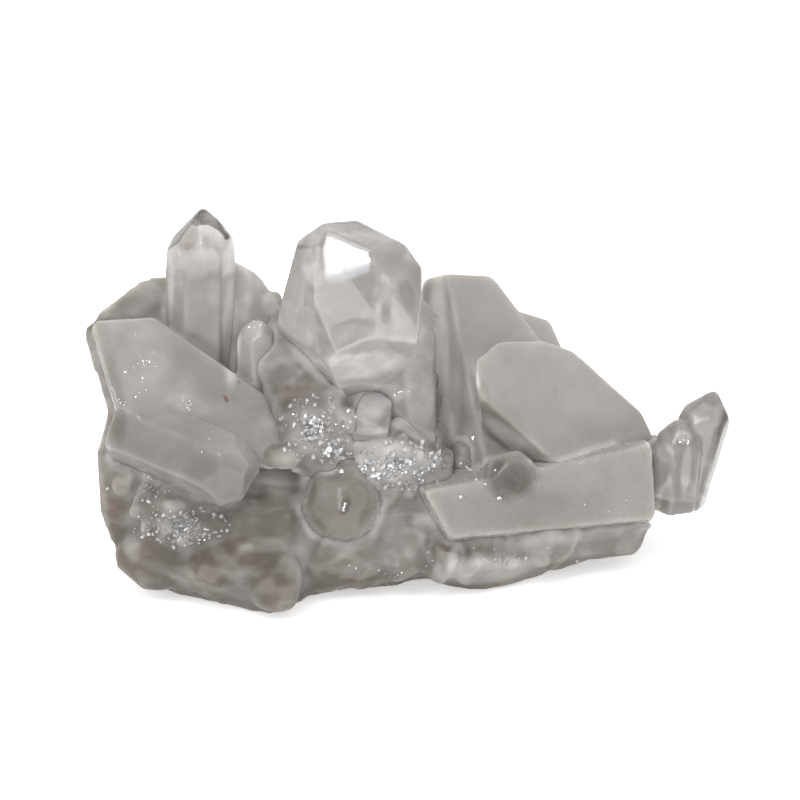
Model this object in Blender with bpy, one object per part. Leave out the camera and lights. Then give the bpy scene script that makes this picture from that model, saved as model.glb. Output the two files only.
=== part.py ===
"""Quartz crystal cluster, palm size: a rough base rock with a crust of small crystals and
fifteen larger crystals standing in it, in seven groups.

Every crystal is a convex form: a primitive cut by its flat faces. A face is written as
(turn, rise, distance): the direction that it looks in, in degrees around +Z from +X and above
the horizon, and its distance from the crystal's centre in millimetres. The base rock is a
union of chipped blocks, lumps and small points, cut flat underneath. +X runs along the
cluster, -Y is the front and +Z is up. An empty carries all of it, placed so that the middle of
the footprint is the origin.
"""

import math
import random

import bmesh
import bpy
from mathutils import Matrix, Vector
from mathutils.bvhtree import BVHTree

MM = 0.001
GAP = 0.3  # clear space between a crystal and what it stands in, mm
ON_PLANE = 1e-7  # a corner this near a cut counts as lying on it, m
SAME_CORNER = 1e-6  # corners this near each other are one, m

PRISM_SIDES = 6
HALF_SIDE = math.pi / PRISM_SIDES  # half of the turn that one side of a prism takes
CORNER_TO_FACE = math.cos(HALF_SIDE)
POINT_RISE = 38.0  # a tip's faces look this far above the prism's sides, degrees
EVEN_TIP = (0.0,) * PRISM_SIDES
BLOCK_SPAN = 90.0  # side of the cube that a faceted crystal is cut from, mm

LUMP_CORNERS = 30
LUMP_REACH = (0.9, 1.06)  # how near its ellipsoid a lump's corners lie
LUMP_SEED = 40

CLUSTER = "quartz_crystal_cluster"
CUTTERS = "cutters"

# Colour, roughness, transmission and IOR of the two sorts of quartz.
QUARTZ_IOR = 1.544
CLEAR = {"color": (0.78, 0.76, 0.74), "roughness": 0.08, "transmission": 0.75}
CLOUDY = {"color": (0.62, 0.59, 0.57), "roughness": 0.22, "transmission": 0.35}
ROCK = {"color": (0.45, 0.42, 0.40), "roughness": 0.38, "transmission": 0.12}


# ---------------------------------------------------------------- directions and facets


def direction(turn, rise):
    """Unit vector from a turn around +Z and a rise above the horizon, in degrees."""
    turn = math.radians(turn)
    rise = math.radians(rise)
    level = math.cos(rise)
    return Vector((level * math.cos(turn), level * math.sin(turn), math.sin(rise)))


def cut_face(bm, point, normal):
    """Slices off what lies beyond a plane and closes the cut, leaving one flat face."""
    geometry = bm.verts[:] + bm.edges[:] + bm.faces[:]
    made = bmesh.ops.bisect_plane(
        bm, geom=geometry, dist=ON_PLANE, plane_co=point, plane_no=normal, clear_outer=True
    )
    rim = [item for item in made["geom_cut"] if isinstance(item, bmesh.types.BMEdge)]
    if rim:
        bmesh.ops.holes_fill(bm, edges=rim, sides=0)


def cut_facets(bm, centre, facets, grow):
    for turn, rise, distance in facets.values():
        normal = direction(turn, rise)
        cut_face(bm, centre + normal * (distance + grow) * MM, normal)


def faceted_block(centre, facets, grow=0.0):
    """A crystal bounded by the given faces only."""
    bm = bmesh.new()
    centre = Vector(centre) * MM
    bmesh.ops.create_cube(bm, size=BLOCK_SPAN * MM, matrix=Matrix.Translation(centre))
    cut_facets(bm, centre, facets, grow)
    return bm


def quartz_point(foot, axis, width, length, spin=0.0, tip=EVEN_TIP, taper=1.0, grow=0.0):
    """A six-sided prism with a six-faced tip, standing on foot and running along axis.

    tip moves each tip face out along the axis, in mm: unequal values make the tip lopsided,
    and large ones leave it blunt. taper is the prism's width at its end over that at its foot.
    """
    bm = bmesh.new()
    rim = width / 2 + grow / CORNER_TO_FACE
    upright = Matrix.Translation((0, 0, length / 2 * MM)) @ Matrix.Rotation(HALF_SIDE, 4, "Z")
    bmesh.ops.create_cone(
        bm,
        cap_ends=True,
        segments=PRISM_SIDES,
        radius1=rim * MM,
        radius2=rim * taper * MM,
        depth=(length + 2 * grow) * MM,
        matrix=upright,
    )
    for side, lift in enumerate(tip):
        normal = direction(side * 360 / PRISM_SIDES, POINT_RISE)
        apex = Vector((0, 0, (length + lift) * MM))
        cut_face(bm, apex + normal * grow * MM, normal)
    turn = Matrix.Rotation(math.radians(spin), 4, "Z")
    stand = Vector((0, 0, 1)).rotation_difference(Vector(axis)).to_matrix().to_4x4()
    bm.transform(Matrix.Translation(Vector(foot) * MM) @ stand @ turn)
    return bm


def hull(points):
    """The smallest convex block around points given in mm."""
    bm = bmesh.new()
    for point in points:
        bm.verts.new(Vector(point) * MM)
    found = bmesh.ops.convex_hull(bm, input=bm.verts)
    spare = [item for item in found["geom_interior"] if isinstance(item, bmesh.types.BMVert)]
    bmesh.ops.delete(bm, geom=spare, context="VERTS")
    return bm


def chip(bm, seed, cuts, depth):
    """Knocks corners and edges off a convex block with flat fractures up to depth mm deep."""
    rng = random.Random(seed)
    for _ in range(cuts):
        normal = direction(rng.uniform(-180, 180), rng.uniform(*CHIP_RISE))
        reach = max(vert.co.dot(normal) for vert in bm.verts)
        cut_face(bm, normal * (reach - rng.uniform(CHIP_LEAST, 1.0) * depth * MM), normal)
    return bm


def lump(centre, size, seed):
    """A rough pebble: the hull of points scattered on an ellipsoid of the given half sizes."""
    rng = random.Random(seed)
    points = []
    for _ in range(LUMP_CORNERS):
        way = Vector(rng.gauss(0, 1) for _ in range(3)).normalized() * rng.uniform(*LUMP_REACH)
        points.append([middle + half * part for middle, half, part in zip(centre, size, way)])
    return hull(points)


# ---------------------------------------------------------------- objects


def collection(name):
    made = bpy.data.collections.new(name)
    bpy.context.scene.collection.children.link(made)
    return made


def quartz_material(name, look):
    material = bpy.data.materials.new(name)
    material.use_nodes = True
    shader = material.node_tree.nodes["Principled BSDF"]
    shader.inputs["Base Color"].default_value = (*look["color"], 1)
    shader.inputs["Roughness"].default_value = look["roughness"]
    shader.inputs["Transmission Weight"].default_value = look["transmission"]
    shader.inputs["IOR"].default_value = QUARTZ_IOR
    return material


def add_object(name, bm, home, look=None, place=(0, 0, 0)):
    """Turns a bmesh into a named object with its origin at place, in mm.

    An object without a look is a helper for a Boolean, and is hidden.
    """
    location = Vector(place) * MM
    bmesh.ops.remove_doubles(bm, verts=bm.verts, dist=SAME_CORNER)
    bmesh.ops.recalc_face_normals(bm, faces=bm.faces)
    bm.transform(Matrix.Translation(-location))
    mesh = bpy.data.meshes.new(name)
    bm.to_mesh(mesh)
    bm.free()
    made = bpy.data.objects.new(name, mesh)
    made.location = location
    home.objects.link(made)
    if look:
        mesh.materials.append(quartz_material(name, look))
    else:
        made.hide_render = True
        made.display_type = "WIRE"
    return made


def combine(target, operation, others):
    """Applies one exact Boolean between target and every object in a collection."""
    modifier = target.modifiers.new(operation.lower(), "BOOLEAN")
    modifier.operation = operation
    modifier.operand_type = "COLLECTION"
    modifier.collection = others
    modifier.solver = "EXACT"
    bpy.context.view_layer.update()
    evaluated = target.evaluated_get(bpy.context.evaluated_depsgraph_get())
    result = bpy.data.meshes.new_from_object(evaluated)
    target.modifiers.clear()
    target.data = result


def keep_largest(target):
    """Drops splinters that a cut has left loose from the main body."""
    bm = bmesh.new()
    bm.from_mesh(target.data)
    unseen = set(bm.verts)
    islands = []
    while unseen:
        island = set()
        front = [unseen.pop()]
        while front:
            vert = front.pop()
            island.add(vert)
            for edge in vert.link_edges:
                other = edge.other_vert(vert)
                if other in unseen:
                    unseen.remove(other)
                    front.append(other)
        islands.append(island)
    islands.sort(key=len)
    for island in islands[:-1]:
        bmesh.ops.delete(bm, geom=list(island), context="VERTS")
    bm.to_mesh(target.data)
    bm.free()


# ---------------------------------------------------------------- the large crystals

# group: (look, crystals). The crystals of a group have grown through one another, so they are
# one solid. Positions and lengths are in mm, turns and rises in degrees.
CRYSTALS = {
    "main_crystals": (
        CLEAR,
        {
            # Stout clear crystal in the middle, its broad face turned up to the front.
            "middle": {
                "centre": (-8.5, -3, 44),
                "facets": {
                    "broad": (-105, 26, 7.1),
                    "crown": (-40, 73, 10.2),
                    "upper_left": (-155, 36, 9.9),
                    "left_high": (-144, -1, 7.7),
                    "left_low": (-150, 12, 7.5),
                    "right_high": (-48, 30, 9.3),
                    "right_low": (-52, 16, 9.3),
                    "foot_left": (-151, -33, 10.0),
                    "foot_right": (-72, -37, 10.3),
                    "back_left": (162, 15, 10.4),
                    "back_top": (119, 50, 10.5),
                    "back_top_right": (53, 20, 7.2),
                    "back_right": (8, -8, 9.6),
                    "foot_back_left": (178, -30, 13.4),
                    "back": (90, -12, 9.5),
                    "foot": (-90, -80, 19.0),
                },
            },
            # Narrow prism at its right, the top grown into it.
            "prop": {
                "foot": (0.2, -1.5, 14),
                "axis": (0.0, 0.0, 1),
                "width": 9.3,
                "length": 31.0,
                "spin": 28,
                "tip": (1.0, 0, 1.0, 0, 1.0, 0),
            },
        },
    ),
    "back_crystals": (
        CLOUDY,
        {
            # Large smooth crystal that leans back behind the middle.
            "tall": {
                "centre": (11, 12, 30),
                "facets": {
                    "broad": (-71, 34, 5.7),
                    "bevel": (-127, 20, 7.0),
                    "left": (178, 5, 9.6),
                    "top": (93, 59, 11.8),
                    "shoulder": (19, 32, 9.1),
                    "back": (90, -5, 8.0),
                    "foot": (0, -90, 16.0),
                },
            },
            # Its shorter twin on the right.
            "twin": {
                "centre": (16, 14, 30),
                "facets": {
                    "broad": (-67, 26, 3.4),
                    "top": (72, 53, 5.7),
                    "right": (14, 22, 8.0),
                    "left": (180, 0, 3.0),
                    "back": (95, -8, 8.0),
                    "foot": (0, -90, 14.0),
                },
            },
            # Broad blade that runs down to the right, its flat side to the front.
            "blade": {
                "centre": (26, 2, 27),
                "facets": {
                    "broad": (-46, 30, -0.9),
                    "left_end": (174, -6, 14.1),
                    "top_left": (152, 34, 13.1),
                    "top": (111, 56, 8.9),
                    "shoulder": (60, 61, 6.7),
                    "back_upper": (66, 31, 7.1),
                    "right_end": (21, 18, 10.9),
                    "lower": (-126, -36, 12.0),
                    "foot": (-44, -50, 11.2),
                    "back": (120, -20, 11.0),
                },
            },
        },
    ),
    "left_crystals": (
        CLOUDY,
        {
            # Big block with a long front face, its top edge falling to the right.
            "block": {
                "centre": (-34, -4, 32),
                "facets": {
                    "front": (-65, 44, 1.6),
                    "ridge_left": (107, 50, 9.5),
                    "ridge_right": (31, 48, 4.6),
                    "left_upper": (150, 35, 14.4),
                    "left_lower": (-170, -15, 11.2),
                    "under": (-116, -44, 9.8),
                    "back": (90, 0, 11.0),
                    "right": (0, 0, 20.0),
                    "foot": (0, -90, 12.0),
                },
            },
            # Slim upright crystal behind it with a full clear tip.
            "upright": {
                "foot": (-33.3, 7, 20),
                "axis": (0.045, 0, 1),
                "width": 10.7,
                "length": 35.3,
                "spin": 10,
                "tip": (1.6, 0.4, 0.2, 0.2, 0.8, 0.6),
            },
            # Small tapered crystal between it and the middle, with a blunt top.
            "small": {
                "foot": (-22.2, 0.5, 18),
                "axis": (-0.06, 0.06, 1),
                "width": 9.4,
                "length": 21.0,
                "spin": 20,
                "tip": (1.2, 1.6, 0.8, 1.4, 1.0, 1.6),
                "taper": 0.62,
            },
            # Rounded crystal lying along the lower left, its end to the right.
            "lying": {
                "foot": (-43.0, -7.5, 25.0),
                "axis": (0.88, -0.47, -0.20),
                "width": 11.2,
                "length": 22.5,
                "spin": 12,
                "tip": (2.0, 4, 3.0, 3.5, 2.5, 4),
            },
        },
    ),
    "front_crystals": (
        CLOUDY,
        {
            # Thick slab along the front right.
            "slab": {
                "centre": (20, -8, 14),
                "facets": {
                    "front": (-70, 24, 3.1),
                    "top": (126, 78, 4.6),
                    "left_end": (-159, -23, 16.2),
                    "right_end": (3, 1, 18.2),
                    "under": (-75, -59, 5.6),
                    "back": (100, 0, 8.0),
                },
            },
            # Small clear crystal in the notch above the slab.
            "window": {
                "foot": (15.2, -4, 14.5),
                "axis": (0.1, -0.9, 0.45),
                "width": 9.2,
                "length": 9.0,
                "spin": 20,
                "tip": (3, 3, 3, 3, 3, 3),
            },
        },
    ),
    "front_nub": (
        CLOUDY,
        {
            # Blunt crystal that points out to the front.
            "nub": {
                "foot": (-10.2, -6, 16.4),
                "axis": (0.02, -0.97, -0.2),
                "width": 12.4,
                "length": 14.0,
                "spin": 8,
                "tip": (2.5, 3, 2.5, 3, 2.5, 3),
            },
        },
    ),
    "small_block": (
        CLOUDY,
        {
            # Small blocky crystal on the crust, under the middle one.
            "block": {
                "centre": (-5.2, -8.2, 25.4),
                "facets": {
                    "front": (-100, 12, 2.6),
                    "left": (172, 12, 3.0),
                    "right": (-5, 0, 2.4),
                    "top": (-60, 62, 2.0),
                    "under": (-90, -78, 2.2),
                    "back": (80, 0, 5.0),
                },
            },
        },
    ),
    "end_crystals": (
        CLEAR,
        {
            # Upright crystal at the right end.
            "outer": {
                "foot": (43.4, 5.0, 7.5),
                "axis": (0.24, 0.0, 1),
                "width": 8.4,
                "length": 19.6,
                "spin": 5,
                "tip": (0.6, 0.6, 0, 0, 0, 0.6),
            },
            # Lower one in front of it.
            "inner": {
                "foot": (41.8, 1.5, 8.0),
                "axis": (0.06, 0.0, 1),
                "width": 8.0,
                "length": 14.6,
                "spin": 20,
                "tip": (1.5, 1, 1.5, 1, 1.5, 1),
            },
        },
    ),
}


def crystal_form(sizes, grow=0.0):
    build = faceted_block if "facets" in sizes else quartz_point
    return build(**sizes, grow=grow)


def add_crystals(name, look, forms, home, cutters):
    """Makes a group clear of those before it, and the cutters that keep others clear of it."""
    first, *others = forms.values()
    place = first.get("centre") or first["foot"]
    group = add_object(name, crystal_form(first), home, look, place)
    if others:
        joined = collection(f"{name}_joined")
        for number, form in enumerate(others):
            add_object(f"{name}_joined_{number}", crystal_form(form), joined)
        combine(group, "UNION", joined)
    if cutters.objects:
        combine(group, "DIFFERENCE", cutters)
        keep_largest(group)
    for part, form in forms.items():
        add_object(f"{name}_{part}_socket", crystal_form(form, GAP), cutters)
    return group


# ---------------------------------------------------------------- the base rock

CHIPS = 12
CHIP_DEPTH = 1.2  # deepest fracture on a block's corners, mm
CHIP_LEAST = 0.25  # shallowest fracture, as a share of the deepest
CHIP_RISE = (-50, 80)  # fractures look no further down or up than this, degrees

# Corner points of the blocks that the rock is made of, in mm.
ROCK_BLOCKS = {
    "left_foot": (
        (-39, -10, 0), (-35, -14, 0), (-24, -17.5, 0), (-20.5, -21, 0), (-15, -15, 0),
        (-12, 10, 0), (-34, 16, 0), (-41, 3, 0), (-45, -14, 9), (-38, -18, 6), (-30, -20, 4),
        (-20, -22, 3), (-47.2, -9, 12), (-47.2, -8, 23), (-38, -13, 19), (-25, -14, 18),
        (-16, -13, 16), (-46, 6, 27), (-35, 17, 24), (-12, 12, 24),
    ),
    "left_shoulder": (
        (-45, -2, 20), (-45, 12, 20), (-34, 15, 20), (-34, 2, 20), (-50, 1.5, 37.5),
        (-48.4, 3, 40.6), (-46.2, 5, 41.4), (-43.4, 7, 42), (-41, 9, 43.5), (-37, 11, 44),
        (-46, -2, 34), (-34, 12, 42), (-36, 3, 32),
    ),
    "rear_wall": (
        (-38, 6, 20), (-38, 16, 20), (-16, 16, 20), (-16, 4, 20), (-36, 12, 44), (-28, 12, 46),
        (-25, 11, 45), (-22, 9.5, 42), (-20, 7.5, 38.5), (-35, 15, 40), (-22, 15, 39),
        (-18, 5, 33),
    ),
    "middle_foot": (
        (-18, -16, 0), (-8, -12.5, 0), (0, -10.5, 0), (6, -9, 0), (6, 18, 0), (-20, 18, 0),
        (-17, -18, 5), (-8, -17, 5), (0, -15, 5), (6, -13, 5), (-16, -13, 18), (-6, -13, 19),
        (5, -11, 18), (-16, -5, 28), (-2, -5, 27), (-16, 16, 28), (8, 16, 28),
    ),
    "right_foot": (
        (4, -10.5, 0), (8, -12.5, 0), (11, -13.2, 0), (20, -5, 0), (30, 0.5, 0), (35, 5, 0),
        (34, 18, 0), (4, 20, 0), (7, -14, 4), (11, -15, 4), (22, -9.5, 4), (31, -5, 4),
        (37, -2.5, 4.5), (6, -13, 12), (38, 0, 9), (38, 10, 10), (8, 20, 24), (32, 18, 18),
        (10, -2, 17), (34, 3, 16),
    ),
}
# Swellings on the blocks: centre and half sizes, in mm.
ROCK_LUMPS = (
    ((-37.5, -13, 7.6), (7.6, 7.2, 6.6)),
    ((-27, -15.5, 6.5), (8, 7.5, 6.2)),
    ((-20, -19, 4.6), (4.6, 6, 4.6)),
    ((-41.5, -5, 17), (5, 8, 9)),
    ((-35, -14.5, 14), (6.5, 4, 4)),
    ((-18.5, -14, 23), (3.2, 3, 2)),
    ((-9, -13, 6.5), (8, 7, 6)),
    ((-1, -12, 7.5), (5.5, 6, 6)),
    ((5, -12, 7), (4.5, 6, 5.5)),
    ((10.5, -11.5, 5.4), (5, 7, 5.2)),
    ((19, -8, 6.5), (7.5, 5.5, 5.5)),
    ((29.5, -3, 6), (8.5, 6, 6)),
    ((40.5, 7.5, 13), (5, 5, 5.5)),
    ((-14, -8, 23), (6, 6, 5.5)),
    ((-3, -8, 20), (8, 6, 5)),
    ((-8, -6, 27), (7, 5, 5)),
    ((-16, 0, 31), (6, 6, 6)),
    ((10, 2, 16), (8, 6, 5)),
    ((20, 12, 20), (14, 9, 9)),
    ((-4, 12, 24), (14, 9, 9)),
    ((-30, 12, 24), (12, 8, 12)),
    ((30, 8, 12), (9, 9, 8)),
    ((-40, 10, 28), (6.5, 6, 9)),
    ((-39, 6, 11), (8.5, 10, 12)),
    ((-28, 9, 12), (12, 11, 14)),
    ((-13, 11, 10), (12, 10, 13)),
    ((2, 13, 11), (11, 9, 12)),
    ((17, 12, 9), (11, 11, 12)),
    ((30, 9, 8), (9, 10, 10)),
)
# Patches of small crystals: centre, radius, how many, widths from and to, in mm.
CRUST_PATCHES = (
    ((-13, -12, 27), 5.5, 16, (1.4, 2.8)),
    ((-2, -12, 22), 6.5, 20, (1.4, 2.8)),
    ((9, -9, 19), 4.0, 8, (1.4, 2.6)),
    ((-35, -17, 14), 5.0, 10, (1.4, 2.6)),
    ((-41, -14, 17), 4.0, 6, (1.6, 2.6)),
    ((-25, 18, 36), 9.0, 12, (2.0, 4.5)),
    ((12, 22, 24), 10.0, 10, (2.0, 4.5)),
    ((-40, 14, 18), 8.0, 6, (4.0, 7.0)),
    ((-16, 22, 16), 10.0, 9, (4.0, 8.0)),
    ((20, 22, 14), 12.0, 9, (4.0, 8.0)),
)
CRUST_SEED = 11
CRUST_SCATTER = 0.5  # standard deviation of a patch's crystals, as a share of its radius
CRUST_LEAN = 0.6  # how far a small crystal leans off the rock's own direction
CRUST_LENGTH = (1.3, 1.9)  # a small crystal's length in widths, shortest and longest
CRUST_SLANT = 0.5  # the most that a tip face is set back, in widths


def crust_crystal(place, normal, width, rng):
    """A small point growing out of the rock near its surface normal."""
    lean = Vector(rng.uniform(-CRUST_LEAN, CRUST_LEAN) for _ in range(3))
    axis = (normal + lean).normalized()
    foot = place / MM - axis * width
    length = width * rng.uniform(*CRUST_LENGTH)
    tip = [rng.uniform(0, width * CRUST_SLANT) for _ in range(PRISM_SIDES)]
    return quartz_point(foot, axis, width, length, rng.uniform(0, 360 / PRISM_SIDES), tip)


def add_crust(rock, pieces):
    """Grows patches of small crystals on the rock's surface."""
    bm = bmesh.new()
    bm.from_mesh(rock.data)
    surface = BVHTree.FromBMesh(bm)
    bm.free()
    rng = random.Random(CRUST_SEED)
    for patch, (centre, radius, count, widths) in enumerate(CRUST_PATCHES):
        for number in range(count):
            aim = Vector(centre) + Vector(rng.gauss(0, radius * CRUST_SCATTER) for _ in range(3))
            place, normal, _, _ = surface.find_nearest(aim * MM)
            small = crust_crystal(place, normal, rng.uniform(*widths), rng)
            add_object(f"crust_{patch}_{number}", small, pieces)


def build_rock(home):
    """Joins the blocks, the swellings and the small crystals into one body."""
    blocks = []
    for seed, points in enumerate(ROCK_BLOCKS.values()):
        blocks.append(chip(hull(points), seed, CHIPS, CHIP_DEPTH))
    for seed, (centre, size) in enumerate(ROCK_LUMPS, LUMP_SEED):
        blocks.append(lump(centre, size, seed))
    pieces = collection("rock_pieces")
    rock = add_object("matrix", blocks[0], home, ROCK)
    for number, block in enumerate(blocks[1:]):
        add_object(f"rock_piece_{number}", block, pieces)
    combine(rock, "UNION", pieces)
    crust = collection("rock_crust")
    add_crust(rock, crust)
    combine(rock, "UNION", crust)
    return rock


def flatten_base(rock):
    bm = bmesh.new()
    bm.from_mesh(rock.data)
    cut_face(bm, Vector((0, 0, 0)), Vector((0, 0, -1)))
    bm.to_mesh(rock.data)
    bm.free()


def centre_on_origin(objects, home):
    """Hangs everything on an empty that brings the middle of the footprint to the origin."""
    corners = [item.location + vert.co for item in objects for vert in item.data.vertices]
    middle = [
        (min(corner[axis] for corner in corners) + max(corner[axis] for corner in corners)) / 2
        for axis in range(2)
    ]
    everything = list(bpy.data.objects)
    stand = bpy.data.objects.new("stand", None)
    stand.location = (-middle[0], -middle[1], 0)
    home.objects.link(stand)
    for item in everything:
        item.parent = stand


def main():
    for item in list(bpy.data.objects):
        bpy.data.objects.remove(item)
    home = collection(CLUSTER)
    cutters = collection(CUTTERS)
    groups = []
    for name, (look, forms) in CRYSTALS.items():
        groups.append(add_crystals(name, look, forms, home, cutters))
    rock = build_rock(home)
    flatten_base(rock)
    combine(rock, "DIFFERENCE", cutters)
    keep_largest(rock)
    centre_on_origin([rock, *groups], home)


if __name__ == "__main__":
    main()
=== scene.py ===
"""Quartz crystal cluster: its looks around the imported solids.

Each group of crystals and the base rock are made again as fine surfaces with soft edges,
growth relief and milky-to-clear quartz. A crust of tiny sharp crystals sits on the rock.
"""

import math
import random
from typing import NamedTuple

import bmesh
import bpy
import numpy as np
from mathutils import Matrix, Vector, noise
from mathutils.bvhtree import BVHTree


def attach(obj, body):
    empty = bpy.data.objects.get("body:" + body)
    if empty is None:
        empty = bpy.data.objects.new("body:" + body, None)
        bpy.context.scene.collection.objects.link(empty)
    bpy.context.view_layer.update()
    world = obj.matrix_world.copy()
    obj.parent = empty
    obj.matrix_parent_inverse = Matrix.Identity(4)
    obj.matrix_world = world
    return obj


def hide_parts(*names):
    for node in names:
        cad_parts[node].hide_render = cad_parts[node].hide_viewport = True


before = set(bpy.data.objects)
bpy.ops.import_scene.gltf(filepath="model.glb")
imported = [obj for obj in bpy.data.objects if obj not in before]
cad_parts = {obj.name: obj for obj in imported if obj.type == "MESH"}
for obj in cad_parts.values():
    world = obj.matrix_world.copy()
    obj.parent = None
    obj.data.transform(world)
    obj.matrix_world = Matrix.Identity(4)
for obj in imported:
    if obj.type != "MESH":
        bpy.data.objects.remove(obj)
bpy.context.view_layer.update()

bl_info = {
    "name": "Quartz crystal cluster",
    "version": (1, 0, 0),
    "blender": (4, 5, 0),
    "location": "View3D > Sidebar > Quartz",
    "description": "Grows the fine surfaces of a quartz crystal cluster around its solids",
    "category": "Add Mesh",
}

MM = 0.001
BODY = "root"

# The stage camera looks at AIM from the front, with a square frame of FRAME pixels a side.
AIM = Vector((-1.7, -0.37, 26.6)) * MM
CAMERA_RISE = math.radians(20)
CAMERA_DISTANCE = 344 * MM
CAMERA_LENS = 100.0
CAMERA_SENSOR = 36.0
FRAME = 800

# Where the softbox shines in the middle crystal's broad face, in the camera's frame: both ends
# of the shine's straight lower edge, and its top.
SHINE_LEFT = (342, 281)
SHINE_RIGHT = (376, 271)
SHINE_TOP = (345, 240)
SOFTBOX_DISTANCE = 450 * MM
SOFTBOX_WIDTH = 60 * MM
SOFTBOX_SPILL = 14 * MM  # how far its fading side reaches past the left corner
SOFTBOX_RIM = 6 * MM  # how wide its bluish lower rim is
SOFTBOX_HEIGHT = 45 * MM
SOFTBOX_MIDDLE = Vector((SOFTBOX_WIDTH / 2, SOFTBOX_HEIGHT / 2, 0))

# The direction of the overhead lamp, around +Z from +X and above the horizon.
OVERHEAD_TURN = math.radians(-116)
OVERHEAD_RISE = math.radians(55)
OVERHEAD_DISTANCE = 500 * MM
OVERHEAD_SIZE = 160 * MM

# How the sheltered places are found: rays a vertex, where they start and how far they go.
SHELTER_RAYS = 7
SHELTER_START = 0.7 * MM
SHELTER_REACH = 7 * MM
# Along the seams the quartz is painted light, which lifts the shade where two pieces meet.
SEAM = 1.0 * MM  # how wide the pale band is along the line where two pieces meet

# ---------------------------------------------------------------- views and places


def direction(turn, rise):
    level = math.cos(rise)
    return Vector((level * math.cos(turn), level * math.sin(turn), math.sin(rise)))


VIEW_UP = Vector((0, math.sin(CAMERA_RISE), math.cos(CAMERA_RISE)))
VIEW_AHEAD = Vector((0, math.cos(CAMERA_RISE), -math.sin(CAMERA_RISE)))
CAMERA_PLACE = AIM - VIEW_AHEAD * CAMERA_DISTANCE


OVERHEAD_WAY = direction(OVERHEAD_TURN, OVERHEAD_RISE)


def sight(x, y):
    """The direction in which the camera sees the point (x, y) of its frame."""
    scale = CAMERA_SENSOR / CAMERA_LENS / FRAME
    across = Vector((1, 0, 0)) * (x - FRAME / 2) * scale
    down = VIEW_UP * (FRAME / 2 - y) * scale
    return (VIEW_AHEAD + across + down).normalized()


# ---------------------------------------------------------------- settings


class SurfaceSettings(bpy.types.PropertyGroup):
    """How finely the crystals and the rock are made."""

    crystal_grid: bpy.props.FloatProperty(
        name="Crystal grid",
        description="Side of the squares that a crystal's surface is made of",
        default=0.28 * MM,
        unit="LENGTH",
    )
    rock_grid: bpy.props.FloatProperty(
        name="Rock grid",
        description="Side of the squares that the base rock's surface is made of",
        default=0.45 * MM,
        unit="LENGTH",
    )
    seed: bpy.props.IntProperty(
        name="Seed",
        description="Changes the pattern of fractures and small crystals",
        default=7,
    )


class QuartzSettings(bpy.types.PropertyGroup):
    """Colours of the quartz."""

    pale: bpy.props.FloatVectorProperty(
        name="Milky quartz",
        description="Colour of the cloudy crystals where they are lightest",
        subtype="COLOR",
        default=(0.385, 0.366, 0.348),
    )
    # The smoky colour is also the colour of painted shade: quartz is darkened to it lower down and in shaded
    # places, besides its own smoky tone.
    smoky_and_shaded: bpy.props.FloatVectorProperty(
        name="Smoky quartz",
        description="Colour of the darkest quartz, low in the rock",
        subtype="COLOR",
        default=(0.112, 0.092, 0.074),
    )
    # The frosty colour is also the colour of painted light: quartz turns to it in sheltered places, along seams
    # and on shaded faces, besides its frosty edges and clouds.
    frost_and_painted_light: bpy.props.FloatVectorProperty(
        name="Frosty quartz",
        description="Colour of edges, bruises and clouds, the palest quartz",
        subtype="COLOR",
        default=(0.74, 0.712, 0.695),
    )
    clear: bpy.props.FloatVectorProperty(
        name="Clear quartz",
        description="Tint of what is seen through the clearest quartz",
        subtype="COLOR",
        default=(0.71, 0.69, 0.67),
    )
    # The iron stain colour is also used for painted reflections: the brown flecks in the upright crystal's clear
    # tip.
    rust_and_painted_reflection: bpy.props.FloatVectorProperty(
        name="Iron stain",
        description="Colour of the few small stains",
        subtype="COLOR",
        default=(0.16, 0.065, 0.03),
    )
    index: bpy.props.FloatProperty(
        name="Refractive index",
        description="Refractive index of quartz",
        default=1.544,
    )


class StageSettings(bpy.types.PropertyGroup):
    """Floor and light."""

    floor_color: bpy.props.FloatVectorProperty(
        name="Floor",
        description="Colour of the pale floor",
        subtype="COLOR",
        default=(0.9, 0.9, 0.9),
    )
    floor_glow: bpy.props.FloatProperty(
        name="Floor glow",
        description="Light given off by the translucent floor",
        default=0.45,
    )
    sky: bpy.props.FloatProperty(
        name="Sky",
        description="Strength of the even white light all around",
        default=1.2,
    )
    softbox: bpy.props.FloatProperty(
        name="Softbox",
        description="Brightness of the softbox that shines in the middle crystal",
        default=17.0,
    )
    overhead: bpy.props.FloatProperty(
        name="Overhead lamp",
        description="Power of the lamp above, which shines in the crystals' tips",
        default=0.5,
        unit="POWER",
    )


# ---------------------------------------------------------------- meshes


def node_mesh(name):
    """A merged copy of a solid's mesh."""
    bm = bmesh.new()
    bm.from_mesh(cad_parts[name].data)
    bmesh.ops.remove_doubles(bm, verts=bm.verts, dist=1e-6)
    mesh = bpy.data.meshes.new(f"{name}_copy")
    bm.to_mesh(mesh)
    bm.free()
    return mesh


def even_grid(mesh, grid, passes):
    """The mesh made again of even squares, its edges rounded by passes of smoothing."""
    helper = bpy.data.objects.new("helper", mesh)
    bpy.context.scene.collection.objects.link(helper)
    remesh = helper.modifiers.new("grid", "REMESH")
    remesh.mode = "VOXEL"
    remesh.voxel_size = grid
    remesh.use_smooth_shade = True
    smooth = helper.modifiers.new("round", "SMOOTH")
    smooth.factor = 0.5
    smooth.iterations = passes
    bpy.context.view_layer.update()
    evaluated = helper.evaluated_get(bpy.context.evaluated_depsgraph_get())
    made = bpy.data.meshes.new_from_object(evaluated)
    bpy.data.objects.remove(helper)
    bpy.data.meshes.remove(mesh)
    return made


def points_of(mesh, what="co"):
    values = np.empty(len(mesh.vertices) * 3, np.float32)
    if what == "normal":
        mesh.vertex_normals.foreach_get("vector", values)
    else:
        mesh.vertices.foreach_get("co", values)
    return values.reshape(-1, 3).astype(np.float64)


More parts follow.
